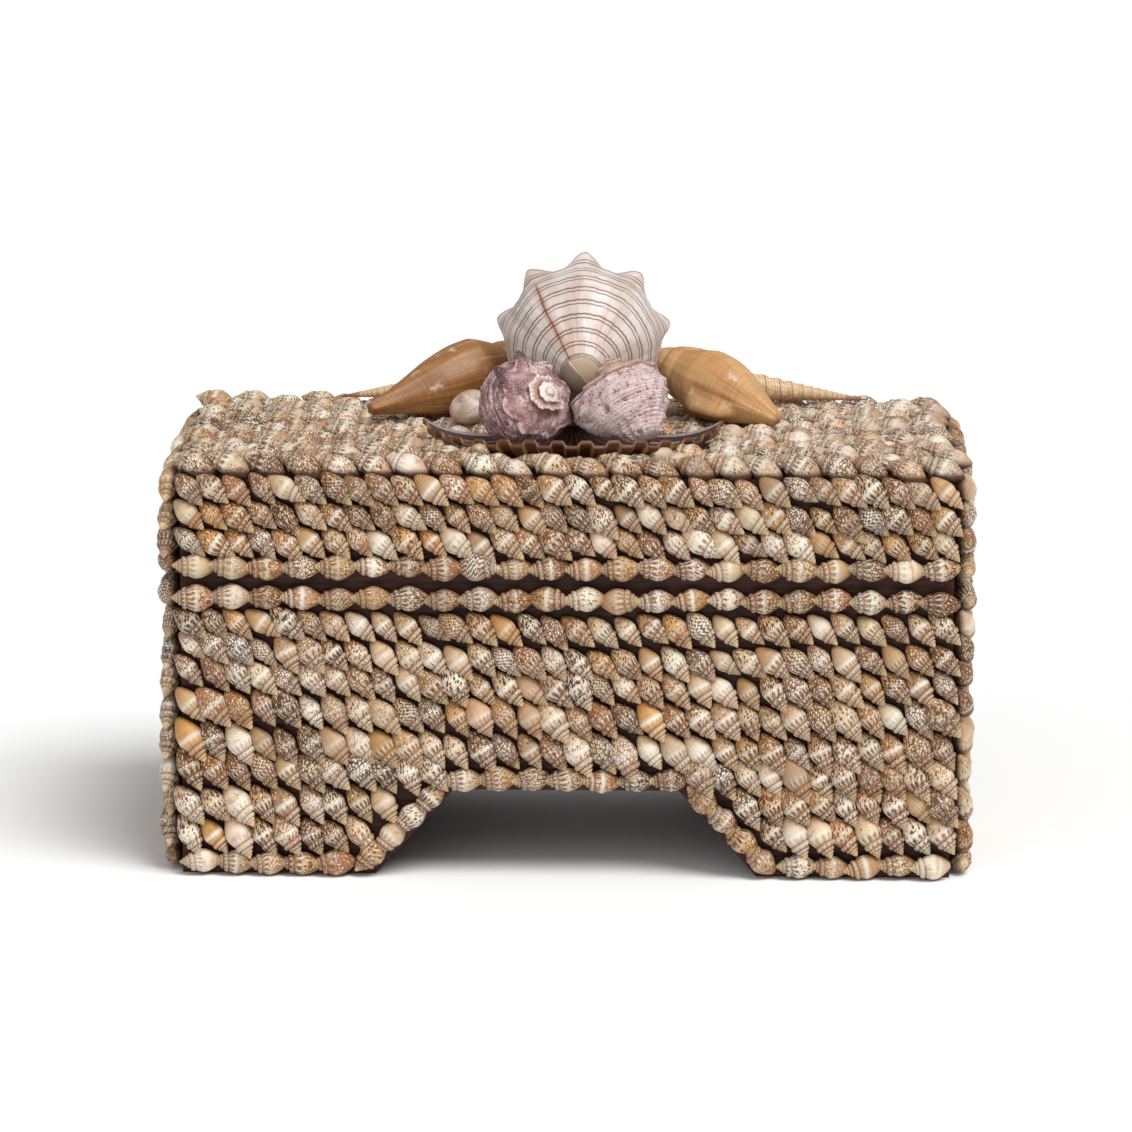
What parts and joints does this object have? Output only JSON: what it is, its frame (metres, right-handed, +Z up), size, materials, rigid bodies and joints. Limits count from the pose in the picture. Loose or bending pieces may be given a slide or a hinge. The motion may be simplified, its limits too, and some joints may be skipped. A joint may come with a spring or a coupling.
{
  "type": "shell-covered lidded box",
  "caption": "Rectangular wooden keepsake box with bracket feet and a lift-off lid, covered all round in rows of small glued sea shells, with a group of large shells on the lid.",
  "frame": {"origin": "middle of the footprint, on the plane the feet stand on", "axes": "+X to the right along the front, +Y from the front to the back, +Z up from the feet to the lid"},
  "size_m": [0.3062, 0.1512, 0.225],
  "materials": {
    "wood": "dark stained, satin",
    "small_shell": "mottled cream and brown, satin",
    "conch": "cream with thin brown spiral stripes, satin",
    "whelk": "tan with pale growth lines, satin",
    "rock_shell": "mauve pink, rough",
    "scallop": "purple brown, satin",
    "turret": "pale tan, satin",
    "moon_snail": "pale beige, polished"
  },
  "bodies": {
    "root": {"box_front_board": "wood", "box_back_board": "wood", "box_left_board": "wood", "box_right_board": "wood", "box_floor_board": "wood", "lid_front_board": "wood", "lid_back_board": "wood", "lid_left_board": "wood", "lid_right_board": "wood", "lid_top_board": "wood", "front_wall_shells": "small_shell", "front_left_foot_shells": "small_shell", "front_right_foot_shells": "small_shell", "back_wall_shells": "small_shell", "back_left_foot_shells": "small_shell", "back_right_foot_shells": "small_shell", "right_wall_shells": "small_shell", "left_wall_shells": "small_shell", "lid_front_shells": "small_shell", "lid_right_shells": "small_shell", "lid_back_shells": "small_shell", "lid_left_shells": "small_shell", "lid_top_shells": "small_shell", "conch": "conch", "left_whelk": "whelk", "right_whelk": "whelk", "left_rock_shell": "rock_shell", "right_rock_shell": "rock_shell", "left_turret": "turret", "right_turret": "turret", "moon_snail": "moon_snail", "scallop": "scallop"}
  },
  "joints": []
}
